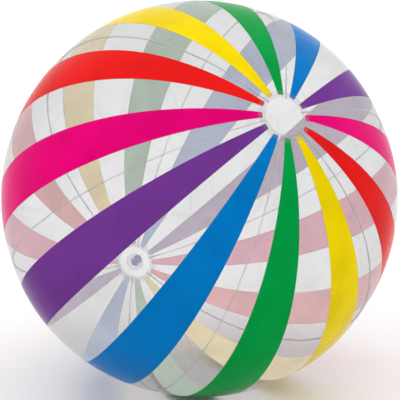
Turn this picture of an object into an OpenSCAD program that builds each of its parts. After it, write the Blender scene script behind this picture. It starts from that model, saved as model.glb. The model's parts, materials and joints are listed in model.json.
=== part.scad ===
// Inflatable beach ball: six printed clear gores, two polar caps and a push-in valve.
// The ball lies at rest on a small flat patch, with its polar axis tilted.
// Frame: origin at the ball's centre, +Z up. Millimetres.

/* [Ball] */
// Diameter of the inflated ball
ball_d = 680; // [500:10:900]
// Thickness of the vinyl film
film_t = 0.25; // [0.2:0.05:0.5]
// Depth of the inward weld fin along each gore edge
fin_h = 2.5; // [1.5:0.5:5]
// Radius of the flat patch that the ball rests on
rest_patch_r = 27; // [15:1:40]

/* [Print] */
// Angle of longitude that each printed stripe covers
stripe_a = 14; // [6:0.5:24]
// How far the stripes stop short of the gore tips
stripe_gap = 5; // [2:0.5:20]

/* [Polar caps] */
// Radius of the round cap film at each pole
cap_r = 42.5; // [40:0.5:80]
// How far the cap laps over the gore tips
cap_lap = 11.5; // [6:0.5:14]
// Thickness of the cap film
cap_t = 0.3; // [0.2:0.05:0.6]

/* [Valve body] */
// Width of the flange that is welded inside the valve cap, round the valve's hole
flange_w = 7; // [4:0.5:10]
// Thickness of the flange
flange_t = 0.8; // [0.6:0.1:1.5]
// Space round the strap's fold in the hole through the cap and the flange
hole_gap = 1.6; // [1.2:0.1:3]
// Wall of the flexible boot
boot_t = 0.6; // [0.4:0.1:0.8]
// Radius of the stem's bore
bore_r = 4.2; // [3.2:0.1:5]
// Wall of the stem
stem_wall = 1.8; // [1.2:0.1:2.4]
// Length of the stem, from its base to its mouth
stem_l = 20.5; // [17:0.5:26]
// Height of the mouth above the ball's surface when the valve is pushed in
mouth_h = 1.5; // [1.2:0.1:2.5]
// Width of the stem's base collar, outside the stem's wall
collar_w = 2; // [1.2:0.1:3]
// Thickness of the stem's base collar
collar_t = 1.2; // [0.8:0.1:2]
// Width of the lip around the mouth, outside the stem's wall
lip_w = 1; // [0.6:0.1:1.4]
// Height of the lip
lip_h = 1.6; // [1.5:0.1:2.5]

/* [Plug] */
// How far the plug's head laps over the mouth, past the edge of the bore
head_lap = 2.3; // [1.5:0.1:2.8]
// Thickness of the plug's head
head_t = 1.9; // [1.5:0.1:2.5]
// Depth of the plug's peg in the bore
peg_l = 5; // [3:0.5:6]
// Clearance between the peg and the bore at the mouth
peg_gap = 0.3; // [0.2:0.05:0.5]
// How much the peg's radius tapers towards its tip
peg_taper = 1.1; // [0.9:0.1:1.5]
// Length of the finger tab on the plug's head
tab_l = 2.4; // [1:0.2:3]
// Width of the finger tab and of the strap
strap_w = 4; // [3:0.5:5]
// Thickness of the strap
strap_t = 0.7; // [0.5:0.1:0.9]
// Distance from the lip to the line that the plug turns about
plug_hinge_gap = 1.6; // [1.4:0.1:2.5]

/* [Check flap] */
// How far the flap laps past the edge of the bore
flap_lap = 1.4; // [0.8:0.1:1.8]
// Thickness of the flap
flap_t = 0.5; // [0.3:0.1:0.8]
// Length of the flap's neck, out to the line that it turns about
flap_neck = 1; // [0.6:0.1:2]

/* [Rest pose] */
// Lean of the polar axis from vertical
axis_lean = 57.6; // [0:0.1:80]
// Direction that the plain cap leans towards, counted from +X
axis_heading = -63.6; // [-180:0.1:180]
// Turn of the ball about its own polar axis
ball_spin = 217.2; // [0:0.1:360]

/* [Hidden] */
ball_r = ball_d / 2;
gore_n = 6;
gore_a = 360 / gore_n;
film_ri = ball_r - film_t;
fin_ri = film_ri - fin_h;
// Height of the flat patch below the centre
rest_h = sqrt(pow(ball_r, 2) - pow(rest_patch_r, 2));
// A clearance between soft pieces that are moulded as one but move apart
mould_gap = 0.05;
// Radii about the valve's axis
stem_r = bore_r + stem_wall;
lip_r = stem_r + lip_w;
collar_r = stem_r + collar_w;
head_r = bore_r + head_lap;
plug_hinge_r = lip_r + plug_hinge_gap;
flap_r = bore_r + flap_lap;
flap_hinge_r = flap_r + flap_neck;
// The strap bends round the line that the plug turns about
strap_bend_r = lip_h / 2;
valve_hole_r = max(plug_hinge_r + strap_bend_r, collar_r) + hole_gap;
flange_r = valve_hole_r + flange_w;
tip_hole_r = cap_r - cap_lap;
stripe_end_r = tip_hole_r + stripe_gap;
// The space inside a gore starts nearer the axis than its film, so that both tips stay open
core_r = tip_hole_r / 2;
// Heights along the valve's axis, from the ball's centre
mouth_z = ball_r + mouth_h;
base_z = mouth_z - stem_l;
flange_z = sqrt(pow(ball_r, 2) - pow(valve_hole_r, 2));
boot_base_r = collar_r + mould_gap + boot_t;
head_z = mouth_z + mould_gap;
peg_root_r = bore_r - peg_gap;
peg_tip_r = peg_root_r - peg_taper;
flap_z = base_z - mould_gap;
red = [0.91, 0.24, 0.2];
pink = [0.9, 0.05, 0.47];
purple = [0.45, 0.25, 0.57];
blue = [0.0, 0.45, 0.75];
green = [0.0, 0.63, 0.3];
yellow = [1.0, 0.9, 0.0];
clear = [0.9, 0.92, 0.94, 0.3];
tinted = [0.45, 0.55, 0.85, 0.8];
$fn = 96;

// Puts a piece that is drawn about the polar axis, with the plain cap on +Z, in the rest pose
module on_ball() {
    rotate([0, axis_lean, axis_heading]) rotate([0, 0, ball_spin]) children();
}

// Puts a valve piece, drawn with +Z out of the ball, at the other pole.
// Its +X side is where the plug's strap is.
module at_valve() {
    on_ball() rotate([180, 0, 0]) children();
}

// A ball of radius r, cut flat at h below its centre. The ball is turned by turn_a about its polar axis.
module rest_form(r, h, turn_a) {
    difference() {
        on_ball() rotate([0, 0, turn_a]) sphere(r = r);
        translate([-ball_r, -ball_r, -h - ball_r]) cube([2 * ball_r, 2 * ball_r, ball_r]);
    }
}

// A wedge about the polar axis between two longitudes, each side moved in by inset,
// and starting at radius hole_r from the axis
module wedge(from_a, to_a, hole_r, inset = 0) {
    mid_a = (from_a + to_a) / 2;
    half_a = (to_a - from_a) / 2;
    reach = 2 * ball_r;
    rotate([0, 0, mid_a])
        translate([0, 0, -ball_r - cap_t])
        linear_extrude(2 * (ball_r + cap_t))
        difference() {
            translate([inset / sin(half_a), 0])
                polygon([[0, 0], [reach, -reach * tan(half_a)], [reach, reach * tan(half_a)]]);
            rotate(180) circle(r = hole_r);
        }
}

// Clear film from pole hole to pole hole, with a weld fin turned in along both edges
module gore_film(index) {
    from_a = index * gore_a;
    // Each sphere is turned so that the line where it closes is on the far side of the ball
    turn_a = from_a + gore_a / 2 + 180;
    difference() {
        intersection() {
            rest_form(ball_r, rest_h, turn_a);
            on_ball() wedge(from_a, from_a + gore_a, tip_hole_r);
        }
        intersection() {
            rest_form(film_ri, rest_h - film_t, turn_a);
            on_ball() wedge(from_a, from_a + gore_a, core_r, film_t);
        }
        on_ball() rotate([0, 0, turn_a]) sphere(r = fin_ri);
    }
}

// The space that holds one printed stripe, down the middle of half a gore and short of both poles
module stripe_space(middle_a) {
    on_ball() wedge(middle_a - stripe_a / 2, middle_a + stripe_a / 2, stripe_end_r);
}

// One gore: the ink is part of the film, so the stripes change its colour and not its shape
module gore(index, ink_1, ink_2) {
    middle_1 = (index + 0.25) * gore_a;
    middle_2 = (index + 0.75) * gore_a;
    color(clear) difference() {
        gore_film(index);
        stripe_space(middle_1);
        stripe_space(middle_2);
    }
    color(ink_1) intersection() {
        gore_film(index);
        stripe_space(middle_1);
    }
    color(ink_2) intersection() {
        gore_film(index);
        stripe_space(middle_2);
    }
}

module cap_disc() {
    intersection() {
        difference() {
            sphere(r = ball_r + cap_t);
            sphere(r = ball_r);
        }
        translate([0, 0, ball_r / 2]) cylinder(h = ball_r, r = cap_r);
    }
}

module plain_cap() {
    color(clear) on_ball() cap_disc();
}

module valve_cap() {
    color(clear) at_valve() difference() {
        cap_disc();
        cylinder(h = 2 * ball_r, r = valve_hole_r);
    }
}

// A ring welded to the inner face of the valve cap
module valve_flange() {
    color(tinted) at_valve() difference() {
        intersection() {
            difference() {
                sphere(r = ball_r);
                sphere(r = ball_r - flange_t);
            }
            translate([0, 0, ball_r / 2]) cylinder(h = ball_r, r = flange_r);
        }
        cylinder(h = 2 * ball_r, r = valve_hole_r);
    }
}

// The flexible funnel between the flange and the stem's base, as it hangs with the valve pushed in
module valve_boot() {
    color(tinted) at_valve() rotate_extrude()
        polygon([
            [valve_hole_r - boot_t, flange_z],
            [valve_hole_r, flange_z],
            [valve_hole_r, flange_z - flange_t],
            [boot_base_r, base_z + collar_t],
            [boot_base_r, base_z],
            [boot_base_r - boot_t, base_z],
            [boot_base_r - boot_t, base_z + collar_t],
            [valve_hole_r - boot_t, flange_z - flange_t]
        ]);
}

// The tube with its base collar and the lip around its mouth
module valve_stem() {
    color(tinted) at_valve() difference() {
        union() {
            translate([0, 0, base_z]) cylinder(h = stem_l, r = stem_r);
            translate([0, 0, base_z]) cylinder(h = collar_t, r = collar_r);
            translate([0, 0, mouth_z - lip_h]) cylinder(h = lip_h, r = lip_r);
        }
        translate([0, 0, base_z - 1]) cylinder(h = stem_l + 2, r = bore_r);
    }
}

// The stopper: a round head, a tapered peg in the bore and a finger tab
module plug() {
    color(tinted) at_valve() {
        translate([0, 0, head_z]) cylinder(h = head_t, r = head_r);
        translate([0, 0, head_z - peg_l]) cylinder(h = peg_l + head_t / 2, r1 = peg_tip_r, r2 = peg_root_r);
        translate([-head_r - tab_l, -strap_w / 2, head_z + head_t / 4])
            cube([head_r + tab_l, strap_w, head_t / 2]);
    }
}

// The strip that ties the plug to the stem, folded round the line that the plug turns about
module plug_strap() {
    color(tinted) at_valve()
        translate([0, strap_w / 2, mouth_z]) rotate([90, 0, 0]) linear_extrude(strap_w)
        difference() {
            union() {
                translate([plug_hinge_r, 0]) circle(r = strap_bend_r);
                translate([0, -strap_bend_r]) square([plug_hinge_r, 2 * strap_bend_r]);
            }
            translate([plug_hinge_r, 0]) circle(r = strap_bend_r - strap_t);
            translate([0, strap_t - strap_bend_r])
                square([plug_hinge_r, 2 * (strap_bend_r - strap_t)]);
            translate([0, -2 * strap_bend_r]) square([lip_r + mould_gap, 2 * strap_bend_r]);
            square([head_r + mould_gap, 2 * strap_bend_r]);
        }
}

// The thin leaf that closes the inner end of the bore
module check_flap() {
    color(tinted) at_valve() translate([0, 0, flap_z - flap_t]) {
        cylinder(h = flap_t, r = flap_r);
        translate([0, -strap_w / 2, 0]) cube([flap_hinge_r, strap_w, flap_t]);
    }
}

gore(0, red, pink);  // gore_red_pink_a
gore(1, purple, blue);  // gore_purple_blue_a
gore(2, green, yellow);  // gore_green_yellow_a
gore(3, red, pink);  // gore_red_pink_b
gore(4, purple, blue);  // gore_purple_blue_b
gore(5, green, yellow);  // gore_green_yellow_b
plain_cap();
valve_cap();
valve_flange();
valve_boot();
valve_stem();
plug();
plug_strap();
check_flap();
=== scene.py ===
"""Looks of an inflatable beach ball: printed vinyl gores, polar caps and a push-in air valve.

Lengths are in metres and angles in radians. The ball frame has its origin at the ball's centre and
+Z out through the plain cap. The valve frame has the same origin and +X, and +Z out through the valve.
"""

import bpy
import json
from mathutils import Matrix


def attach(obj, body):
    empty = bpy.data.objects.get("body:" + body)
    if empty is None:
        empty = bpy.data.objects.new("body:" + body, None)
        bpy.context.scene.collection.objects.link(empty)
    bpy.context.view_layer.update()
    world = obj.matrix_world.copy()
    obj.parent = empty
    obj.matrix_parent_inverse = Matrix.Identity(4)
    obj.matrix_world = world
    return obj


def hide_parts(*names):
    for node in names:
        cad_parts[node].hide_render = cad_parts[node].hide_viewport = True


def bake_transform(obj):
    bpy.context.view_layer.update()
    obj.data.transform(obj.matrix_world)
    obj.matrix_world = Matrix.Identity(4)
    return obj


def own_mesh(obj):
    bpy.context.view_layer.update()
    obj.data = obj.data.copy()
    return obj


bl_info = {
    "name": "Inflatable Beach Ball",
    "version": (1, 0, 0),
    "blender": (4, 5, 0),
    "location": "View3D > Sidebar > Beach Ball",
    "description": "Builds a printed vinyl beach ball with its weld seams, polar caps and air valve",
    "category": "Object",
}

import json
import math

import bmesh
import bpy
from bpy.props import FloatProperty, FloatVectorProperty, IntProperty, PointerProperty
from mathutils import Matrix, Vector, noise

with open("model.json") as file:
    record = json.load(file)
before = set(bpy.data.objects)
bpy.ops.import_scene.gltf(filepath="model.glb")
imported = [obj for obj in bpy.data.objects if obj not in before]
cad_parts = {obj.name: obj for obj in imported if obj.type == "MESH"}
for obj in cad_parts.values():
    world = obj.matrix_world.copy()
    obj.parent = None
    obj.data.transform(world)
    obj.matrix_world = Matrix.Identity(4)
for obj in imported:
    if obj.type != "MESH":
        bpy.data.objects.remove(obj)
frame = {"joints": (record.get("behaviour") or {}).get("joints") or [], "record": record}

MOUNTS = {mount["name"]: mount for mount in frame["record"]["mounts"]}
JOINTS = {joint["name"]: joint for joint in frame["joints"]}
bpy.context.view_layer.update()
MM = 0.001
Y = Vector((0, 1, 0))
Z = Vector((0, 0, 1))
PALE_MARK = (0.45, 0.46, 0.48, 1.0)

MOUTH = Vector(MOUNTS["inflation_mouth"]["pos_m"])
VALVE_OUT = Vector(MOUNTS["inflation_mouth"]["axis"]).normalized()
FLOOR_Z = MOUNTS["rest_patch"]["pos_m"][2]
# How far the valve's mouth stands out past the ball
MOUTH_H = 1.5 * MM
PLUG_HINGE = Vector(JOINTS["plug_flip"]["pos_m"])
FLAP_HINGE = Vector(JOINTS["flap_open"]["pos_m"])
STRAP_SIDE = (PLUG_HINGE - MOUTH - (PLUG_HINGE - MOUTH).dot(VALVE_OUT) * VALVE_OUT).normalized()
GORE_N = 6
GORE_A = math.tau / GORE_N


def axes_frame(x_axis, z_axis):
    """The matrix of a frame at the origin with these two axes."""
    return Matrix((x_axis, z_axis.cross(x_axis), z_axis)).transposed().to_4x4()


BALL_FRAME = axes_frame(STRAP_SIDE, -VALVE_OUT)
VALVE_FRAME = axes_frame(STRAP_SIDE, VALVE_OUT)


# Sizes and colours that a user may change

def length(name, default, description):
    """A length setting, in metres."""
    return FloatProperty(name=name, description=description, default=default, min=0.0,
                         precision=5, subtype="DISTANCE", unit="LENGTH")


def angle(name, degrees, description):
    """An angle setting, given here in degrees."""
    return FloatProperty(name=name, description=description, default=math.radians(degrees),
                         subtype="ANGLE", unit="ROTATION")


def share(name, default, description, most=1.0):
    """A plain number from 0 up."""
    return FloatProperty(name=name, description=description, default=default, min=0.0, max=most)


def colour(name, default, description):
    """A colour setting, linear."""
    return FloatVectorProperty(name=name, description=description, default=default, size=3,
                               min=0.0, max=1.0, subtype="COLOR")


def srgb(red, green, blue):
    """A linear colour from the usual 0 to 255 values."""
    return tuple(((c / 255 + 0.055) / 1.055) ** 2.4 if c > 10 else c / 255 / 12.92
                 for c in (red, green, blue))


class FilmSizes(bpy.types.PropertyGroup):
    """Sizes of the film pieces: the gores and the caps."""
    radius: length("Radius", MOUTH.length - MOUTH_H, "Radius of the inflated ball")
    film_t: length("Film thickness", 0.25 * MM, "Thickness of the gore film")
    fin_h: length("Weld fin", 2.5 * MM, "Depth of the weld fin turned in along each gore edge")
    tip_hole_r: length("Tip hole radius", 31 * MM, "Radius of the hole between the gore tips")
    cap_r: length("Cap radius", 42.5 * MM, "Radius of the round film over each pole")
    cap_t: length("Cap thickness", 0.3 * MM, "Thickness of the cap film")
    valve_hole_r: length("Valve hole radius", 11 * MM, "Radius of the hole in the valve cap")
    stripe_a: angle("Stripe angle", 14, "Longitude that one printed stripe covers")
    stripe_end_r: length("Stripe end radius", 36 * MM, "Distance of the stripe ends from the axis")
    corner_r: length("Stripe corner", 2.5 * MM, "Rounding of the stripe ends at the valve pole")
    lobe_h: length("Gore bulge", 1.3 * MM, "How far a gore's middle stands above its seams")
    groove_h: length("Seam groove", 1.1 * MM, "Depth of the groove that each weld pulls in")
    groove_w: length("Seam groove width", 3.2 * MM, "Half width of that groove")
    pucker_h: length("Seam pucker", 0.32 * MM, "Height of the puckers across each weld")
    pucker_reach: length("Pucker reach", 13 * MM, "How far the puckers run out from a weld")
    pucker_l: length("Pucker spacing", 17 * MM, "Distance from one pucker to the next")
    crease_h: length("Fold crease", 0.3 * MM, "Depth of the creases left from packing the ball flat")
    crease_w: length("Fold crease width", 3.5 * MM, "Half width of those creases")
    swell_h: length("Unevenness", 0.5 * MM, "Height of the film's slow unevenness")
    arc_rows: IntProperty(name="Rows", description="Mesh rows from pole to pole", default=440)


class ValveSizes(bpy.types.PropertyGroup):
    """Sizes of the valve pieces, measured about and along the valve's axis."""
    flange_r: length("Flange radius", 18 * MM, "Outer radius of the welded flange")
    flange_t: length("Flange thickness", 0.8 * MM, "Thickness of the flange")
    boot_t: length("Boot wall", 0.6 * MM, "Wall of the flexible boot")
    boot_base_r: length("Boot base radius", 8.65 * MM, "Outer radius of the boot at its base")
    bore_r: length("Bore radius", 4.2 * MM, "Radius of the stem's bore")
    stem_r: length("Stem radius", 6 * MM, "Outer radius of the stem")
    stem_l: length("Stem length", 20.5 * MM, "From the stem's base to its mouth")
    collar_r: length("Collar radius", 8 * MM, "Radius of the collar at the stem's base")
    collar_t: length("Collar thickness", 1.2 * MM, "Thickness of that collar")
    lip_r: length("Lip radius", 7 * MM, "Radius of the lip round the mouth")
    lip_h: length("Lip height", 1.6 * MM, "Height of that lip")
    head_r: length("Plug head radius", 6.5 * MM, "Radius of the plug's head")
    head_t: length("Plug head thickness", 1.9 * MM, "Thickness of the plug's head")
    peg_l: length("Peg length", 5 * MM, "Depth of the plug's peg in the bore")
    peg_root_r: length("Peg root radius", 3.9 * MM, "Radius of the peg at the head")
    peg_tip_r: length("Peg tip radius", 2.8 * MM, "Radius of the peg at its tip")
    tab_l: length("Tab length", 2.4 * MM, "Length of the plug's finger tab")
    strap_w: length("Strap width", 4 * MM, "Width of the strap and of the tab")
    strap_t: length("Strap thickness", 0.7 * MM, "Thickness of the strap")
    flap_r: length("Flap radius", 5.6 * MM, "Radius of the check flap")
    flap_t: length("Flap thickness", 0.5 * MM, "Thickness of the check flap")
    gap: length("Mould gap", 0.05 * MM, "Clearance between pieces that move apart")


class FinishColours(bpy.types.PropertyGroup):
    """Inks, film and vinyl."""
    red: colour("Red ink", srgb(215, 24, 22), "Red stripes")
    pink: colour("Pink ink", srgb(214, 0, 108), "Pink stripes")
    purple: colour("Purple ink", srgb(105, 50, 134), "Purple stripes")
    blue: colour("Blue ink", srgb(0, 111, 182), "Blue stripes")
    green: colour("Green ink", srgb(0, 145, 63), "Green stripes")
    yellow: colour("Yellow ink", srgb(226, 199, 0), "Yellow stripes")
    backing: share("Backing", 0.5, "How far the white backing pales an ink seen from inside")
    # Painted glow: the inside inks emit light of their own colour, standing in for the light that
    # comes through an ink from behind.
    painted_glow: share("Light through ink", 0.2, "Light that comes through an ink from behind")
    film: colour("Clear film", (0.28, 0.285, 0.30), "Body of the clear film where light catches it")
    haze: share("Film haze", 0.18, "How much one film surface veils what is behind it")
    rim: share("Rim veil", 0.25, "Extra veil where the film is seen edge on")
    vinyl: colour("Valve vinyl", srgb(168, 175, 222), "Tinted vinyl of the valve")


class StageSettings(bpy.types.PropertyGroup):
    """Camera, floor and light."""
    distance: length("Camera distance", 2.108, "From the ball's centre to the camera")
    elevation: angle("Camera elevation", 12.05, "Angle of the camera above the horizon")
    lens: FloatProperty(name="Lens", description="Focal length", default=109.3, unit="CAMERA")
    shift_x: FloatProperty(name="Shift X", description="Framing shift", default=0.0015)
    shift_y: FloatProperty(name="Shift Y", description="Framing shift", default=-0.00275)
    sky: share("Room light", 1.0, "Strength of the white light from all round", 5.0)
    overhead: share("Overhead light", 1.5, "Strength of the room's light straight overhead", 5.0)
    key: FloatProperty(name="Key light", description="Power of the large soft key light",
                       default=8.0, unit="POWER")
    fill: FloatProperty(name="Fill light", description="Power of the soft light at the right",
                        default=4.0, unit="POWER")
    floor_w: length("Floor width", 40.0, "Width of the pale floor")


# Mesh helpers

def only(items, kind):
    """The vertices, edges or faces among the items."""
    return [item for item in items if isinstance(item, kind)]


def spin(bm, geom, axis, turn, steps, full=False, centre=(0, 0, 0)):
    """Spins geometry about an axis through a point and returns what the last step made."""
    made = bmesh.ops.spin(bm, geom=geom, cent=centre, axis=axis, dvec=(0, 0, 0), angle=turn,
                          space=Matrix.Identity(4), steps=steps, use_merge=full,
                          use_normal_flip=False, use_duplicate=False)
    return made["geom_last"]


def outline(bm, points, closed=True):
    """Joins points in the XZ plane with edges and returns the vertices and edges."""
    verts = [bm.verts.new((x, 0, z)) for x, z in points]
    edges = [bm.edges.new(pair) for pair in zip(verts, verts[1:])]
    if closed:
        edges.append(bm.edges.new((verts[-1], verts[0])))
    return verts + edges


def lathe(points, steps=72, round_r=0.0, closed=True):
    """A ring or a solid turned about +Z from an outline, its corners rounded by round_r."""
    bm = bmesh.new()
    spin(bm, outline(bm, points, closed), Z, math.tau, steps, full=True)
    bmesh.ops.remove_doubles(bm, verts=bm.verts, dist=1e-6)
    bmesh.ops.recalc_face_normals(bm, faces=bm.faces)
    if round_r:
        round_corners(bm, round_r)
    return bm


def round_corners(bm, radius, sharper_than=math.radians(35)):
    """Bevels every edge that turns by more than sharper_than."""
    sharp = [e for e in bm.edges if e.is_manifold and e.calc_face_angle() > sharper_than]
    bmesh.ops.bevel(bm, geom=sharp, offset=radius, offset_type="OFFSET", segments=3, profile=0.5,
                    affect="EDGES", clamp_overlap=True, material=-1)


def face_outward(bm):
    """Turns the faces of an open shell away from the origin."""
    lean = sum(f.normal.dot(f.calc_center_median()) * f.calc_area() for f in bm.faces)
    if lean < 0:
        bmesh.ops.reverse_faces(bm, faces=bm.faces)


def piece(bm, name, place, materials, body, slot, node):
    """Makes an object of the mesh, in place and smooth, standing for a CAD node on a body."""
    bmesh.ops.transform(bm, matrix=place, verts=bm.verts)
    for face in bm.faces:
        face.smooth = True
    mesh = bpy.data.meshes.new(name)
    bm.to_mesh(mesh)
    bm.free()
    for material in materials:
        mesh.materials.append(material)
    obj = bpy.data.objects.new(name, mesh)
    bpy.context.scene.collection.objects.link(obj)
    if body:
        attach(obj, body)
    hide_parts(node)
    return obj


def thicken(obj, thickness, inner_materials):
    """Gives a sheet its thickness inwards. Its inner faces take the later material slots."""
    solid = obj.modifiers.new("Film thickness", "SOLIDIFY")
    solid.thickness = thickness
    solid.offset = -1
    solid.use_even_offset = True
    solid.material_offset = inner_materials


def step_between(low, high, value):
    """0 below low and 1 above high, with a smooth rise between them."""
    t = min(1.0, max(0.0, (value - low) / (high - low)))
    return t * t * (3 - 2 * t)


# Node helpers

def add(tree, kind, inputs=None, **settings):
    """Adds a node, sets it up, and links or sets its inputs."""
    node = tree.nodes.new(kind)
    for name, value in settings.items():
        setattr(node, name, value)
    for name, value in (inputs or {}).items():
        if isinstance(value, bpy.types.NodeSocket):
            tree.links.new(value, node.inputs[name])
        else:
            node.inputs[name].default_value = value
    return node


def maths(tree, operation, a, b=0.0, clamp=False):
    """A Math node's value."""
    return add(tree, "ShaderNodeMath", {0: a, 1: b}, operation=operation, use_clamp=clamp).outputs[0]


def remap(tree, value, low, high, to_low=0.0, to_high=1.0):
    """A value eased from low..high to to_low..to_high."""
    return add(tree, "ShaderNodeMapRange",
               {"Value": value, "From Min": low, "From Max": high,
                "To Min": to_low, "To Max": to_high},
               interpolation_type="SMOOTHSTEP").outputs["Result"]


def mix(tree, factor, a, b):
    """A colour between a and b."""
    return add(tree, "ShaderNodeMix", {0: factor, 6: a, 7: b}, data_type="RGBA").outputs[2]


def speckle(tree, vector, scale, detail=2.0, stretch=(1, 1, 1)):
    """A noise value, stretched along the axes that stretch gives."""
    placed = add(tree, "ShaderNodeMapping", {"Vector": vector, "Scale": stretch}).outputs[0]
    return add(tree, "ShaderNodeTexNoise",
               {"Vector": placed, "Scale": scale, "Detail": detail}).outputs["Fac"]


def group(name, inputs, outputs):
    """A new shader node group with named sockets, and its input and output nodes."""
    tree = bpy.data.node_groups.new(name, "ShaderNodeTree")
    for label, kind in inputs:
        tree.interface.new_socket(label, in_out="INPUT", socket_type="NodeSocket" + kind)
    for label, kind in outputs:
        tree.interface.new_socket(label, in_out="OUTPUT", socket_type="NodeSocket" + kind)
    return tree, tree.nodes.new("NodeGroupInput").outputs, tree.nodes.new("NodeGroupOutput")


def make_film_marks():
    """What shows on any clear film: cloudy haze, folding creases, scuffs, specks and pale welds."""
    tree, given, out = group("Film marks", [("Vector", "Vector"), ("Weld", "Float")],
                             [("Haze", "Float"), ("Roughness", "Float"), ("Height", "Float")])
    cloud = remap(tree, speckle(tree, given["Vector"], 7, 3), 0.3, 0.7, 0.8, 1.25)
    warp = add(tree, "ShaderNodeTexNoise", {"Vector": given["Vector"], "Scale": 9, "Detail": 2})
    bent = add(tree, "ShaderNodeVectorMath",
               {0: given["Vector"], 1: add(tree, "ShaderNodeVectorMath",
                {0: warp.outputs["Color"], 1: (0.05, 0.05, 0.05)}, operation="MULTIPLY").outputs[0]},
               operation="ADD").outputs[0]
    cells = add(tree, "ShaderNodeTexVoronoi", {"Vector": bent, "Scale": 9},
                feature="DISTANCE_TO_EDGE").outputs["Distance"]
    shown = remap(tree, speckle(tree, given["Vector"], 5, 1), 0.46, 0.62)
    crumple = maths(tree, "MULTIPLY", remap(tree, cells, 0.0, 0.035, 1.0, 0.0), shown)
    scuff = remap(tree, speckle(tree, given["Vector"], 60, 4, (1, 6, 1)), 0.6, 0.75)
    dots = add(tree, "ShaderNodeTexVoronoi", {"Vector": given["Vector"], "Scale": 90}).outputs[0]
    speck = remap(tree, dots, 0.03, 0.07, 1.0, 0.0)
    haze = maths(tree, "ADD", cloud, maths(tree, "MULTIPLY", crumple, 0.35))
    haze = maths(tree, "ADD", haze, maths(tree, "MULTIPLY", scuff, 0.35))
    haze = maths(tree, "ADD", haze, maths(tree, "MULTIPLY", speck, 1.5))
    haze = maths(tree, "ADD", haze, maths(tree, "MULTIPLY", given["Weld"], 1.6))
    rough = maths(tree, "ADD", remap(tree, cloud, 0.8, 1.25, 0.07, 0.16),
                  maths(tree, "MULTIPLY", maths(tree, "ADD", scuff, given["Weld"]), 0.18))
    height = maths(tree, "ADD", maths(tree, "MULTIPLY", crumple, -0.4),
                   maths(tree, "MULTIPLY", speckle(tree, given["Vector"], 35, 2), 0.5))
    tree.links.new(haze, out.inputs["Haze"])
    tree.links.new(rough, out.inputs["Roughness"])
    tree.links.new(height, out.inputs["Height"])
    return tree


def make_ink_print():
    """Screen-printed ink: its density, its crisp edge and its pinholes."""
    tree, given, out = group("Ink print",
                             [("Vector", "Vector"), ("Edge", "Float"), ("Ink", "Color"),
                              ("Film", "Color")],
                             [("Color", "Color"), ("Cover", "Float"), ("Height", "Float")])
    density = remap(tree, speckle(tree, given["Vector"], 14, 4), 0.3, 0.7, 0.0, 1.0)
    grain = speckle(tree, given["Vector"], 420, 1)
    deep = mix(tree, 0.14, given["Ink"], (0.0, 0.0, 0.0, 1.0))
    body = mix(tree, density, deep, given["Ink"])
    bead = remap(tree, given["Edge"], 0.4 * MM, 1.6 * MM, 0.28, 0.0)
    body = mix(tree, bead, body, mix(tree, 0.5, body, (0.02, 0.01, 0.03, 1.0)))
    rough_edge = maths(tree, "ADD", given["Edge"], maths(tree, "MULTIPLY", grain, 0.15 * MM))
    cover = remap(tree, rough_edge, 0.0, 0.2 * MM)
    holes = add(tree, "ShaderNodeTexVoronoi", {"Vector": given["Vector"], "Scale": 55}).outputs[0]
    cover = maths(tree, "MULTIPLY", cover, remap(tree, holes, 0.010, 0.022))
    tree.links.new(mix(tree, cover, given["Film"], body), out.inputs["Color"])
    tree.links.new(cover, out.inputs["Cover"])
    tree.links.new(maths(tree, "MULTIPLY", grain, 0.2), out.inputs["Height"])
    return tree


def make_moulded_vinyl():
    """Soft moulded vinyl: cloudy colour, orange-peel skin and fine dust."""
    tree, given, out = group("Moulded vinyl", [("Vector", "Vector"), ("Tint", "Color")],
                             [("Color", "Color"), ("Roughness", "Float"), ("Height", "Float")])
    cloud = remap(tree, speckle(tree, given["Vector"], 130, 3), 0.3, 0.7)
    flow = remap(tree, speckle(tree, given["Vector"], 320, 2, (1, 1, 0.2)), 0.35, 0.7)
    dust = remap(tree, speckle(tree, given["Vector"], 1500, 1), 0.66, 0.72)
    pale = mix(tree, 0.3, given["Tint"], (1.0, 1.0, 1.0, 1.0))
    body = mix(tree, cloud, given["Tint"], pale)
    body = mix(tree, maths(tree, "MULTIPLY", dust, 0.35), body, (0.9, 0.9, 0.88, 1.0))
    rough = maths(tree, "ADD", remap(tree, flow, 0.0, 1.0, 0.24, 0.4),
                  maths(tree, "MULTIPLY", dust, 0.3))
    tree.links.new(body, out.inputs["Color"])
    tree.links.new(rough, out.inputs["Roughness"])
    tree.links.new(speckle(tree, given["Vector"], 900, 2), out.inputs["Height"])
    return tree


def shared(make, name):
    """The node group of that name, made once."""
    return bpy.data.node_groups.get(name) or make()


def new_material(name):
    """An empty node material with its tree and output node."""
    material = bpy.data.materials.new(name)
    material.use_nodes = True
    material.node_tree.nodes.clear()
    return material, material.node_tree, material.node_tree.nodes.new("ShaderNodeOutputMaterial")


def opaque(rgb):
    """A colour with its alpha."""
    return (*rgb, 1.0)


def edge_on(tree, power=3.0):
    """0 where a surface faces the eye and 1 where it is seen edge on."""
    facing = add(tree, "ShaderNodeLayerWeight", {"Blend": 0.5}).outputs["Facing"]
    return maths(tree, "POWER", facing, power)


def film_bump(tree, height):
    """The normal of film whose creases and grain have this height."""
    return add(tree, "ShaderNodeBump",
               {"Height": height, "Strength": 0.35, "Distance": 0.4 * MM}).outputs["Normal"]


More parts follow.
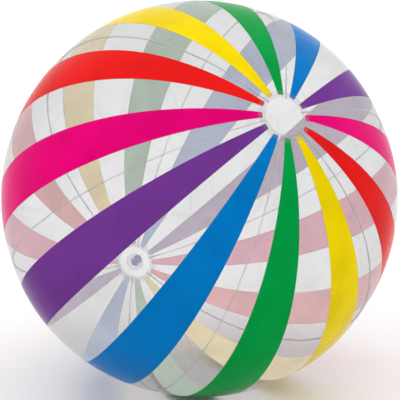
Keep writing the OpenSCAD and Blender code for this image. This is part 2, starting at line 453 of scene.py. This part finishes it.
def film_material(name, colours, haze, rim):
    """Clear glossy film that veils what is behind it, more so at the ball's edge."""
    material, tree, out = new_material(name)
    place = add(tree, "ShaderNodeTexCoord").outputs["Object"]
    weld = add(tree, "ShaderNodeAttribute", attribute_name="weld").outputs["Fac"]
    marks = add(tree, "ShaderNodeGroup", node_tree=shared(make_film_marks, "Film marks"))
    tree.links.new(place, marks.inputs["Vector"])
    tree.links.new(weld, marks.inputs["Weld"])
    veil = maths(tree, "ADD", maths(tree, "MULTIPLY", marks.outputs["Haze"], haze),
                 maths(tree, "MULTIPLY", edge_on(tree), rim), clamp=True)
    body = mix(tree, remap(tree, marks.outputs["Haze"], 0.9, 2.6), opaque(colours.film),
               PALE_MARK)
    normal = film_bump(tree, marks.outputs["Height"])
    shader = add(tree, "ShaderNodeBsdfPrincipled",
                 {"Base Color": body, "Roughness": marks.outputs["Roughness"], "IOR": 1.5,
                  "Alpha": veil, "Normal": normal})
    tree.links.new(shader.outputs[0], out.inputs["Surface"])
    return material


def ink_material(name, ink, colours, painted_glow=0.0):
    """Printed ink under glossy film. Where its edge is rounded off, the clear film shows. With a
    painted glow the ink also emits its own colour, standing in for light that comes through it from
    behind.
    """
    material, tree, out = new_material(name)
    place = add(tree, "ShaderNodeTexCoord").outputs["Object"]
    edge = add(tree, "ShaderNodeAttribute", attribute_name="ink_edge").outputs["Fac"]
    marks = add(tree, "ShaderNodeGroup", node_tree=shared(make_film_marks, "Film marks"))
    printed = add(tree, "ShaderNodeGroup", node_tree=shared(make_ink_print, "Ink print"))
    tree.links.new(place, marks.inputs["Vector"])
    tree.links.new(place, printed.inputs["Vector"])
    tree.links.new(edge, printed.inputs["Edge"])
    printed.inputs["Ink"].default_value = opaque(ink)
    printed.inputs["Film"].default_value = opaque(colours.film)
    veil = remap(tree, printed.outputs["Cover"], 0.0, 1.0, colours.haze, 1.0)
    height = maths(tree, "ADD", marks.outputs["Height"], printed.outputs["Height"])
    normal = film_bump(tree, height)
    rough = maths(tree, "ADD", marks.outputs["Roughness"], 0.08)
    gloss = maths(tree, "MULTIPLY", edge_on(tree, 5.0), 0.12)
    shader = add(tree, "ShaderNodeBsdfPrincipled",
                 {"Base Color": printed.outputs["Color"], "Roughness": rough, "IOR": 1.45,
                  "Specular IOR Level": 0.02, "Coat Weight": gloss, "Coat Roughness": 0.05,
                  "Alpha": veil, "Normal": normal})
    # Painted glow: emission of the ink's own colour, standing in for light that comes through the ink
    # from behind.
    if painted_glow:
        tree.links.new(printed.outputs["Color"], shader.inputs["Emission Color"])
        shader.inputs["Emission Strength"].default_value = painted_glow
    tree.links.new(shader.outputs[0], out.inputs["Surface"])
    return material


def vinyl_material(name, tint, clear):
    """Tinted moulded vinyl that lets a little light through."""
    material, tree, out = new_material(name)
    place = add(tree, "ShaderNodeTexCoord").outputs["Object"]
    skin = add(tree, "ShaderNodeGroup", node_tree=shared(make_moulded_vinyl, "Moulded vinyl"))
    tree.links.new(place, skin.inputs["Vector"])
    skin.inputs["Tint"].default_value = opaque(tint)
    bump = add(tree, "ShaderNodeBump",
               {"Height": skin.outputs["Height"], "Strength": 0.25, "Distance": 0.05 * MM})
    solid = maths(tree, "ADD", maths(tree, "MULTIPLY", edge_on(tree, 2.0), clear / 2), 1 - clear,
                  clamp=True)
    shader = add(tree, "ShaderNodeBsdfPrincipled",
                 {"Base Color": skin.outputs["Color"], "Roughness": skin.outputs["Roughness"],
                  "IOR": 1.5, "Alpha": solid, "Normal": bump.outputs["Normal"]})
    tree.links.new(shader.outputs[0], out.inputs["Surface"])
    return material


def kept(name, make, *values):
    """The material of that name, made once. No name here is one of the CAD model's own materials."""
    return bpy.data.materials.get(name) or make(name, *values)


def backed(ink, colours):
    """An ink's colour as its white backing shows it from inside the ball."""
    return tuple(c + (1 - c) * colours.backing for c in ink)


def gore_materials(inks):
    """Six slots: film and two inks as seen from outside, then the same from inside."""
    colours = bpy.context.scene.ball_colours
    outside = [kept("gore_film", film_material, colours, colours.haze, colours.rim)]
    inside = [kept("film_inner_face", film_material, colours, colours.haze / 4, colours.rim / 4)]
    for ink in inks:
        tint = tuple(getattr(colours, ink))
        outside.append(kept(f"{ink}_ink", ink_material, tint, colours))
        # The inside inks carry the painted glow, an emission of their own colour.
        inside.append(kept(f"{ink}_ink_backed", ink_material, backed(tint, colours), colours,
                           colours.painted_glow))
    return outside + inside


# The gores

def crease_planes():
    """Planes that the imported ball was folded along, and their distances as shares of the radius."""
    for number in range(7):
        seed = Vector((number * 3.7, 1.3, 8.1))
        yield noise.noise_vector(seed).normalized(), 0.9 * noise.noise(seed)


def seam_ripple(seam, along, film):
    """How far a weld fin's free edge waves sideways."""
    where = Vector((along / (2.2 * film.pucker_l), seam * 11.3, 4.0))
    return 0.9 * film.fin_h * noise.noise(where)


def film_relief(co, index, film, creases):
    """How far a point of a gore stands above the ball's radius."""
    polar = co.angle(Z)
    longitude = math.atan2(co.y, co.x)
    ring_r = film.radius * math.sin(polar)
    along = film.radius * polar
    from_edge = min(longitude, GORE_A - longitude)
    gap = ring_r * from_edge
    seam = (index if longitude < GORE_A / 2 else index + 1) % GORE_N
    middle = 4 * longitude * (GORE_A - longitude) / GORE_A ** 2
    turned = Matrix.Rotation(index * GORE_A, 3, "Z") @ co

    drift_turn = 2.6
    mean_strength, strength_spread = 0.55, 0.9
    pleat_n, pleat_h, pleat_reach = 30, 0.3 * MM, 16 * MM
    flat_under_cap, full_past_cap = -1.5 * MM, 7 * MM
    seat_gap = 0.02 * MM

    rise = -film.lobe_h * (1 - middle) * math.sin(polar)
    rise -= film.groove_h * math.exp(-(gap / film.groove_w) ** 2)
    drift = drift_turn * noise.noise(Vector((along / 60 / MM, seam * 5.1, 0.5)))
    where = Vector((along / 45 / MM, seam * 9.7, 3.5))
    strength = mean_strength + strength_spread * noise.noise(where)
    wave = math.sin(math.tau * along / film.pucker_l + drift)
    rise += film.pucker_h * strength * wave * math.exp(-gap / film.pucker_reach)
    from_cap = ring_r - film.cap_r
    pleat = pleat_n * (longitude + index * GORE_A) + 3 * noise.noise(turned * 40)
    rise += pleat_h * math.sin(pleat) * math.exp(-max(from_cap, 0) / pleat_reach)
    for normal, offset in creases:
        off_plane = turned.dot(normal) - offset * film.radius
        fade = step_between(-0.1, 0.25, noise.noise(turned * 6 + normal * 9))
        rise -= film.crease_h * fade * math.exp(-(off_plane / film.crease_w) ** 2)
    rise += film.swell_h * noise.noise(turned * 7)
    return rise * step_between(flat_under_cap, full_past_cap, from_cap) - seat_gap


def ink_edge(co, film):
    """Distance inside the nearer stripe's edge, below 0 outside it."""
    polar = co.angle(Z)
    longitude = math.atan2(co.y, co.x)
    ring_r = film.radius * math.sin(polar)
    middle = GORE_A / 4 if longitude < GORE_A / 2 else 3 * GORE_A / 4
    side = ring_r * (film.stripe_a / 2 - abs(longitude - middle))
    end = ring_r - film.stripe_end_r
    corner = film.corner_r if co.z < 0 else film.corner_r / 4
    if side < corner and end < corner:
        return corner - math.hypot(corner - side, corner - end)
    return min(side, end)


def weld_mark(co, film):
    """How strongly a point of a gore is welded: along its edges and under the caps."""
    ring_r = math.hypot(co.x, co.y)
    longitude = math.atan2(co.y, co.x)
    gap = ring_r * min(longitude, GORE_A - longitude)
    seam_mark, cap_mark = 0.6, 0.03
    full_to, fades_by = 0.8 * MM, 2.6 * MM
    under_cap = 1 - step_between(film.cap_r - 3 * MM, film.cap_r, ring_r)
    return max(seam_mark - seam_mark * step_between(full_to, fades_by, gap), cap_mark * under_cap)


def gore_sheet(index, film):
    """One gore's film surface with its fins, and its longitudes from 0 to a sixth of a turn."""
    bm = bmesh.new()
    hole_a = math.asin(film.tip_hole_r / film.radius)
    end_a = math.asin(film.stripe_end_r / film.radius)
    near_a = math.asin(2 * film.stripe_end_r / film.radius)
    slack = math.radians(0.01)
    start_axis = Matrix.Rotation(slack, 3, "Z") @ Y
    start = Vector((math.sin(hole_a) * math.cos(slack), math.sin(hole_a) * math.sin(slack),
                    math.cos(hole_a))) * film.radius
    tip_rows, near_rows = 4, 24
    rows = [(end_a - hole_a, tip_rows), (near_a - end_a, near_rows),
            (math.pi - 2 * near_a, film.arc_rows - 2 * (tip_rows + near_rows)),
            (near_a - end_a, near_rows), (end_a - hole_a, tip_rows)]
    last = [bm.verts.new(start)]
    for turn, steps in rows:
        last = spin(bm, last, start_axis, turn, steps)
    first_arc = bm.edges[:]

    stripe = film.stripe_a
    edge = (GORE_A - 2 * stripe) / 4
    weld = math.radians(0.6)
    beside = math.radians(2)
    bands = [(weld - slack, 3, 0), (beside - weld, 4, 0), (edge - beside, 8, 0), (stripe, 14, 1),
             (2 * edge, 14, 0), (stripe, 14, 2), (edge - beside, 8, 0), (beside - weld, 4, 0),
             (weld - slack, 3, 0)]
    last = bm.verts[:] + bm.edges[:]
    for turn, steps, ink in bands:
        before = len(bm.faces)
        last = spin(bm, last, Z, turn, steps)
        bm.faces.ensure_lookup_table()
        for face in bm.faces[before:]:
            centre = face.calc_center_median()
            printed = math.hypot(centre.x, centre.y) > film.stripe_end_r
            face.material_index = ink if printed else 0
    last_arc = only(last, bmesh.types.BMEdge)
    bmesh.ops.recalc_face_normals(bm, faces=bm.faces)
    face_outward(bm)

    edge_layer = bm.verts.layers.float.new("ink_edge")
    weld_layer = bm.verts.layers.float.new("weld")
    creases = list(crease_planes())
    for vert in bm.verts:
        vert[edge_layer] = ink_edge(vert.co, film)
        vert[weld_layer] = weld_mark(vert.co, film)
        vert.co *= 1 + film_relief(vert.co, index, film, creases) / film.radius
    turn_in_fins(bm, first_arc, index, film, weld_layer)
    turn_in_fins(bm, last_arc, index + 1, film, weld_layer)
    return bm


def turn_in_fins(bm, arc, seam, film, weld_layer):
    """Turns a weld fin in from one edge of the sheet, with its free edge waving a little."""
    for edge in arc:
        edge.smooth = False
    for row in (1, 2):
        made = bmesh.ops.extrude_edge_only(bm, edges=arc)["geom"]
        arc = only(made, bmesh.types.BMEdge)
        verts = {vert for edge in arc for vert in edge.verts}
        for vert in verts:
            along = film.radius * vert.co.angle(Z)
            ripple = seam_ripple(seam % GORE_N, along, film) * (row / 2) ** 2
            sideways = Z.cross(vert.co).normalized()
            vert.co += sideways * ripple / 2 - vert.co.normalized() * film.fin_h / 2
            vert[weld_layer] = 1.0


def flatten_on_floor(bm):
    """Flattens what would reach below the floor, as the ball's weight does."""
    for vert in bm.verts:
        vert.co.z = max(vert.co.z, FLOOR_Z)


class BEACHBALL_OT_gores(bpy.types.Operator):
    """Makes the six printed gores, with weld fins turned in along their edges"""
    bl_idname = "beach_ball.make_gores"
    bl_label = "Make Gores"

    def execute(self, context):
        film = context.scene.ball_film
        pairs = [("red", "pink"), ("purple", "blue"), ("green", "yellow")]
        for index in range(GORE_N):
            inks = pairs[index % len(pairs)]
            name = f"gore_{'_'.join(inks)}_{'ab'[index // len(pairs)]}"
            bm = gore_sheet(index, film)
            place = BALL_FRAME @ Matrix.Rotation(index * GORE_A, 4, "Z")
            bmesh.ops.transform(bm, matrix=place, verts=bm.verts)
            flatten_on_floor(bm)
            obj = piece(bm, f"{name}_film", Matrix.Identity(4), gore_materials(inks), "ball",
                        "film_" + "_".join(inks), name)
            thicken(obj, film.film_t, 3)
        return {"FINISHED"}


# The caps

def cap_weld(ring_r, film, inner_r):
    """How strongly a cap is welded at a distance from the axis: two rings and a soft band."""
    ring_w, ring_mark, band_mark = 0.7 * MM, 0.16, 0.03
    outer_r = film.cap_r - 0.6 * MM
    ring = max(math.exp(-((ring_r - r) / ring_w) ** 2) for r in (outer_r, inner_r))
    band = step_between(inner_r, inner_r + MM, ring_r)
    return ring_mark * ring + band_mark * band


def cap_sheet(film, hole_r=0.0):
    """A cap about +Z of the ball frame, with its weld ring pressed in and its rim puckered."""
    bm = bmesh.new()
    seat_gap = 0.03 * MM
    crown_h, band_h, pleat_h, wave_h = 0.35 * MM, 0.12 * MM, 0.06 * MM, 0.10 * MM
    pleat_n = 60
    top_r = film.radius + seat_gap + film.cap_t
    rim_a = math.asin(film.cap_r / top_r)
    hole_a = math.asin(hole_r / top_r)
    start = bm.verts.new((film.cap_r, 0, top_r * math.cos(rim_a)))
    spin(bm, [start], Y, hole_a - rim_a, 64)
    spin(bm, bm.verts[:] + bm.edges[:], Z, math.tau, 240, full=True)
    bmesh.ops.remove_doubles(bm, verts=bm.verts, dist=1e-6)
    bmesh.ops.recalc_face_normals(bm, faces=bm.faces)
    face_outward(bm)
    weld_layer = bm.verts.layers.float.new("weld")
    inner_r = film.tip_hole_r + 2 * MM
    for vert in bm.verts:
        ring_r = math.hypot(vert.co.x, vert.co.y)
        longitude = math.atan2(vert.co.y, vert.co.x)
        weld = cap_weld(ring_r, film, inner_r)
        vert[weld_layer] = weld
        inside = 1 - step_between(hole_r, film.tip_hole_r, ring_r)
        rise = crown_h * inside if not hole_r else 0.0
        rise += band_h * (1 - weld) * step_between(inner_r, film.cap_r, ring_r)
        rise += pleat_h * math.sin(pleat_n * longitude) * step_between(inner_r, film.cap_r, ring_r)
        rise += wave_h * noise.noise(vert.co * 55) * step_between(0.0, 20 * MM, ring_r)
        vert.co *= 1 + max(rise, 0.0) / film.radius
    return bm


class BEACHBALL_OT_caps(bpy.types.Operator):
    """Makes the round cap film over each pole"""
    bl_idname = "beach_ball.make_caps"
    bl_label = "Make Caps"

    def execute(self, context):
        film = context.scene.ball_film
        colours = context.scene.ball_colours
        materials = [kept("cap_film", film_material, colours, 0.7 * colours.haze, colours.rim),
                     kept("film_inner_face", film_material, colours, colours.haze / 4,
                          colours.rim / 4)]
        for node, place, hole_r in (("plain_cap", BALL_FRAME, 0.0),
                                    ("valve_cap", VALVE_FRAME, film.valve_hole_r)):
            obj = piece(cap_sheet(film, hole_r), f"{node}_film", place, materials, "ball",
                        "clear_film", node)
            thicken(obj, film.cap_t, 1)
        return {"FINISHED"}


# The valve

def sphere_z(radius, ring_r):
    """Height of a sphere's surface at a distance from the axis."""
    return math.sqrt(radius ** 2 - ring_r ** 2)


def tinted(clear=0.2):
    """The valve's tinted vinyl."""
    colours = bpy.context.scene.ball_colours
    return kept(f"tinted_vinyl_{round(100 * clear)}", vinyl_material, tuple(colours.vinyl), clear)


class BEACHBALL_OT_valve_seat(bpy.types.Operator):
    """Makes the welded flange and the flexible boot that hold the valve's stem"""
    bl_idname = "beach_ball.make_valve_seat"
    bl_label = "Make Valve Seat"

    def execute(self, context):
        film = context.scene.ball_film
        valve = context.scene.ball_valve
        hole_r, out_r = film.valve_hole_r, valve.flange_r
        rib_n, rib_h = 4, 0.12 * MM
        steps = 28
        radii = [hole_r + (out_r - hole_r) * i / steps for i in range(steps + 1)]
        top = [(r, sphere_z(film.radius, r) - 0.02 * MM) for r in radii]
        ribs = [(r, sphere_z(film.radius - valve.flange_t, r)
                 + rib_h * (1 - math.cos(math.tau * rib_n * (r - hole_r) / (out_r - hole_r))) / 2)
                for r in reversed(radii)]
        piece(lathe(top + ribs, 120, 0.12 * MM), "valve_flange_ring", VALVE_FRAME, [tinted(0.85)],
              "ball", "tinted_vinyl", "valve_flange")

        top_z = sphere_z(film.radius, hole_r)
        base_z = MOUTH.length - valve.stem_l
        fold_n, fold_h = 3, 0.35 * MM
        rows = 36
        inner = []
        outer = []
        for i in range(rows + 1):
            t = i / rows
            lean = step_between(0.04, 0.94, t)
            fold = fold_h * math.sin(math.tau * fold_n * t) * math.sin(math.pi * t)
            radius = hole_r + (valve.boot_base_r - hole_r) * lean + fold
            z = top_z + (base_z - top_z) * t
            outer.append((min(radius, hole_r), z))
            inner.append((min(radius, hole_r) - valve.boot_t, z))
        boot = piece(lathe(outer + inner[::-1], 96, 0.1 * MM), "valve_boot_funnel", VALVE_FRAME,
                     [tinted(0.9)], "ball", "tinted_vinyl", "valve_boot")
        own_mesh(boot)
        return {"FINISHED"}


class BEACHBALL_OT_stem(bpy.types.Operator):
    """Makes the stem: a tube with a base collar, two grip beads and a lip round its mouth"""
    bl_idname = "beach_ball.make_stem"
    bl_label = "Make Stem"

    def execute(self, context):
        valve = context.scene.ball_valve
        mouth_z = MOUTH.length
        base_z = mouth_z - valve.stem_l
        lip_z = mouth_z - valve.lip_h
        bead_h, bead_w = 0.25 * MM, 0.9 * MM
        points = [(valve.bore_r, base_z), (valve.collar_r, base_z),
                  (valve.collar_r, base_z + valve.collar_t), (valve.stem_r, base_z + valve.collar_t)]
        for part in (0.35, 0.65):
            z = base_z + part * valve.stem_l
            points += [(valve.stem_r, z - bead_w), (valve.stem_r + bead_h, z - bead_w / 3),
                       (valve.stem_r + bead_h, z + bead_w / 3), (valve.stem_r, z + bead_w)]
        points += [(valve.stem_r, lip_z), (valve.lip_r, lip_z), (valve.lip_r, mouth_z),
                   (valve.bore_r, mouth_z)]
        piece(lathe(points, 96, 0.18 * MM), "valve_stem_tube", VALVE_FRAME, [tinted()], "stem",
              "tinted_vinyl", "valve_stem")
        return {"FINISHED"}


def grow_tab(bm, way, half_w, low_z, high_z, reach, root_r):
    """Grows a round-ended tab from the side faces of a disc, towards +X or -X."""
    side = [f for f in bm.faces
            if f.calc_center_median().x * way > root_r * 0.8
            and abs(f.calc_center_median().y) < half_w
            and low_z < f.calc_center_median().z < high_z
            and abs(f.normal.z) < 0.3]
    made = bmesh.ops.extrude_face_region(bm, geom=side)["geom"]
    bmesh.ops.delete(bm, geom=side, context="FACES_ONLY")
    for vert in only(made, bmesh.types.BMVert):
        across = min(1.0, abs(vert.co.y) / half_w)
        vert.co.x = way * (root_r + reach * math.sqrt(1 - 0.75 * across ** 2))
    bmesh.ops.recalc_face_normals(bm, faces=bm.faces)


class BEACHBALL_OT_plug(bpy.types.Operator):
    """Makes the plug with its sealing bead and finger tab, and the strap that ties it to the stem"""
    bl_idname = "beach_ball.make_plug"
    bl_label = "Make Plug"

    def execute(self, context):
        valve = context.scene.ball_valve
        mouth_z = MOUTH.length
        head_z = mouth_z + valve.gap
        top_z = head_z + valve.head_t
        tip_z = head_z - valve.peg_l
        rim = 0.8 * valve.head_r
        bead_low, bead_mid, bead_high, bead_gap = 1.6 * MM, 1.0 * MM, 0.4 * MM, 0.12 * MM
        dish_w, dish_h, dish_mid_h = 0.4 * MM, 0.35 * MM, 0.5 * MM
        tab_low, tab_high = head_z + valve.head_t / 4, head_z + 3 * valve.head_t / 4
        points = [(0, tip_z), (valve.peg_tip_r, tip_z), (valve.peg_root_r, head_z - bead_low),
                  (valve.bore_r - bead_gap, head_z - bead_mid),
                  (valve.peg_root_r, head_z - bead_high), (valve.peg_root_r, head_z),
                  (valve.head_r, head_z), (valve.head_r, tab_low), (valve.head_r, tab_high),
                  (valve.head_r, top_z), (rim, top_z), (rim - dish_w, top_z - dish_h),
                  (0, top_z - dish_mid_h)]
        bm = lathe(points, 72, closed=False)
        grow_tab(bm, -1, valve.strap_w / 2, tab_low, tab_high, valve.tab_l, valve.head_r)
        round_corners(bm, 0.14 * MM)
        piece(bm, "plug_stopper", VALVE_FRAME, [tinted(0.12)], "stopper", "tinted_vinyl", "plug")

        strap = self.strap_bmesh(valve, mouth_z)
        obj = piece(strap, "plug_strap_strip", VALVE_FRAME, [tinted(0.12)], None, "tinted_vinyl",
                    "plug_strap")
        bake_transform(obj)
        return {"FINISHED"}

    def strap_bmesh(self, valve, mouth_z):
        """A folded strip: out from the lip, round the line that the plug turns about, and back."""
        hinge_r = (PLUG_HINGE - MOUTH).dot(STRAP_SIDE)
        mid_r = (valve.lip_h - valve.strap_t) / 2
        bm = bmesh.new()
        start_r = valve.lip_r + valve.gap
        bmesh.ops.create_grid(bm, x_segments=1, y_segments=1, size=0.5)
        size = Matrix.Diagonal((valve.strap_t, valve.strap_w, 1, 1))
        stand = Matrix.Rotation(math.pi / 2, 4, "Y")
        seat = Matrix.Translation((start_r, 0, -mid_r)) @ stand @ size
        bmesh.ops.transform(bm, matrix=seat, verts=bm.verts)
        last = bm.faces[:]
        for end in (valve.lip_r + 0.6 * MM, hinge_r):
            last = self.push(bm, last, end - last[0].calc_center_median().x)
        bend = spin(bm, last, -Y, math.pi, 14, centre=(hinge_r, 0, 0))
        last = only(bend, bmesh.types.BMFace)
        self.push(bm, last, valve.head_r + valve.gap - hinge_r)
        bmesh.ops.remove_doubles(bm, verts=bm.verts, dist=1e-6)
        inside = [f for f in bm.faces if all(len(e.link_faces) > 2 for e in f.edges)]
        bmesh.ops.delete(bm, geom=inside, context="FACES_ONLY")
        bmesh.ops.recalc_face_normals(bm, faces=bm.faces)
        round_corners(bm, 0.12 * MM, math.radians(50))
        bmesh.ops.translate(bm, verts=bm.verts, vec=(0, 0, mouth_z))
        return bm

    def push(self, bm, faces, distance):
        """Extrudes an end face along X and returns the new end face."""
        made = bmesh.ops.extrude_face_region(bm, geom=faces)["geom"]
        bmesh.ops.translate(bm, verts=only(made, bmesh.types.BMVert), vec=(distance, 0, 0))
        return only(made, bmesh.types.BMFace)


class BEACHBALL_OT_check_flap(bpy.types.Operator):
    """Makes the thin leaf that closes the inner end of the stem's bore"""
    bl_idname = "beach_ball.make_check_flap"
    bl_label = "Make Check Flap"

    def execute(self, context):
        valve = context.scene.ball_valve
        top_z = MOUTH.length - valve.stem_l - valve.gap
        low_z = top_z - valve.flap_t
        neck_r = (FLAP_HINGE - VALVE_OUT * FLAP_HINGE.dot(VALVE_OUT)).dot(STRAP_SIDE)
        dish = 0.12 * MM
        points = [(0, top_z), (valve.flap_r, top_z), (valve.flap_r, low_z),
                  (0.85 * valve.flap_r, low_z - dish / 2), (0.8 * valve.flap_r, low_z), (0, low_z)]
        bm = lathe(points, 72, closed=False)
        grow_tab(bm, 1, valve.strap_w / 2, low_z, top_z, abs(neck_r) - valve.flap_r, valve.flap_r)
        round_corners(bm, 0.1 * MM)
        piece(bm, "check_flap_leaf", VALVE_FRAME, [tinted(0.3)], "flap", "tinted_vinyl",
              "check_flap")
        return {"FINISHED"}


# The stage

def floor_material():
    """Matt white floor with a faint unevenness."""
    material, tree, out = new_material("white_floor")
    place = add(tree, "ShaderNodeTexCoord").outputs["Object"]
    body = mix(tree, speckle(tree, place, 3, 2), (0.79, 0.79, 0.79, 1.0), (0.81, 0.81, 0.81, 1.0))
    shader = add(tree, "ShaderNodeBsdfPrincipled",
                 {"Base Color": body, "Roughness": 0.9, "Specular IOR Level": 0.1})
    tree.links.new(shader.outputs[0], out.inputs["Surface"])
    return material


def aim(obj, target=(0, 0, 0)):
    """Turns a camera or a light towards a point."""
    obj.rotation_euler = (Vector(target) - obj.location).to_track_quat("-Z", "Y").to_euler()


def soft_light(name, power, size, location):
    """A square area light aimed at the ball."""
    data = bpy.data.lights.new(name, "AREA")
    data.shape = "SQUARE"
    data.energy = power
    data.size = size
    obj = bpy.data.objects.new(name, data)
    obj.location = location
    aim(obj)
    bpy.context.scene.collection.objects.link(obj)


def white_room(level, overhead):
    """An even white world that grows brighter straight overhead."""
    world = bpy.data.worlds.new("white_room")
    world.use_nodes = True
    tree = world.node_tree
    way = add(tree, "ShaderNodeTexCoord").outputs["Generated"]
    height = add(tree, "ShaderNodeSeparateXYZ", {"Vector": way}).outputs["Z"]
    background = tree.nodes["Background"]
    background.inputs["Color"].default_value = (1, 1, 1, 1)
    tree.links.new(remap(tree, height, 0.1, 1.0, level, overhead), background.inputs["Strength"])
    return world


class BEACHBALL_OT_stage(bpy.types.Operator):
    """Makes the floor, the lights, the room and the camera"""
    bl_idname = "beach_ball.make_stage"
    bl_label = "Make Stage"

    def execute(self, context):
        scene = context.scene
        stage = scene.ball_stage
        floor_gap = 0.1 * MM
        bm = bmesh.new()
        bmesh.ops.create_grid(bm, x_segments=1, y_segments=1, size=stage.floor_w / 2)
        bmesh.ops.translate(bm, verts=bm.verts, vec=(0, 0, FLOOR_Z - floor_gap))
        mesh = bpy.data.meshes.new("floor")
        bm.to_mesh(mesh)
        bm.free()
        mesh.materials.append(floor_material())
        floor = bpy.data.objects.new("floor", mesh)
        scene.collection.objects.link(floor)

        soft_light("key_light", stage.key, size=3.6, location=(-1.9, -2.0, 2.6))
        soft_light("fill_light", stage.fill, size=3.0, location=(2.6, 0.6, 1.6))
        scene.world = white_room(stage.sky, stage.overhead)

        data = bpy.data.cameras.new("camera")
        data.lens = stage.lens
        data.shift_x = stage.shift_x
        data.shift_y = stage.shift_y
        camera = bpy.data.objects.new("camera", data)
        camera.location = (Matrix.Rotation(-stage.elevation, 3, "X") @ -Y) * stage.distance
        aim(camera)
        scene.collection.objects.link(camera)
        scene.camera = camera
        scene.view_settings.view_transform = "Standard"
        scene.cycles.transparent_max_bounces = 32
        return {"FINISHED"}


class BEACHBALL_PT_build(bpy.types.Panel):
    """Lists the steps that build the beach ball"""
    bl_label = "Beach Ball"
    bl_idname = "BEACHBALL_PT_build"
    bl_space_type = "VIEW_3D"
    bl_region_type = "UI"
    bl_category = "Beach Ball"

    def draw(self, context):
        for operator in OPERATORS:
            self.layout.operator(operator.bl_idname)
        for group_name in SETTINGS:
            settings = getattr(context.scene, group_name)
            for name in settings.bl_rna.properties.keys():
                if name not in ("rna_type", "name"):
                    self.layout.prop(settings, name)


OPERATORS = (BEACHBALL_OT_gores, BEACHBALL_OT_caps, BEACHBALL_OT_valve_seat, BEACHBALL_OT_stem,
             BEACHBALL_OT_plug, BEACHBALL_OT_check_flap, BEACHBALL_OT_stage)
SETTINGS = {"ball_film": FilmSizes, "ball_valve": ValveSizes, "ball_colours": FinishColours,
            "ball_stage": StageSettings}


def register():
    """Registers the classes and puts the settings on the scene."""
    for cls in (*SETTINGS.values(), *OPERATORS, BEACHBALL_PT_build):
        bpy.utils.register_class(cls)
    for name, cls in SETTINGS.items():
        setattr(bpy.types.Scene, name, PointerProperty(type=cls))


def unregister():
    """Takes the settings off the scene and unregisters the classes."""
    for name in SETTINGS:
        delattr(bpy.types.Scene, name)
    for cls in (BEACHBALL_PT_build, *reversed(OPERATORS), *reversed(SETTINGS.values())):
        bpy.utils.unregister_class(cls)


def main():
    """Builds everything."""
    register()
    for operator in OPERATORS:
        family, step = operator.bl_idname.split(".")
        getattr(getattr(bpy.ops, family), step)()


if __name__ == "__main__":
    main()
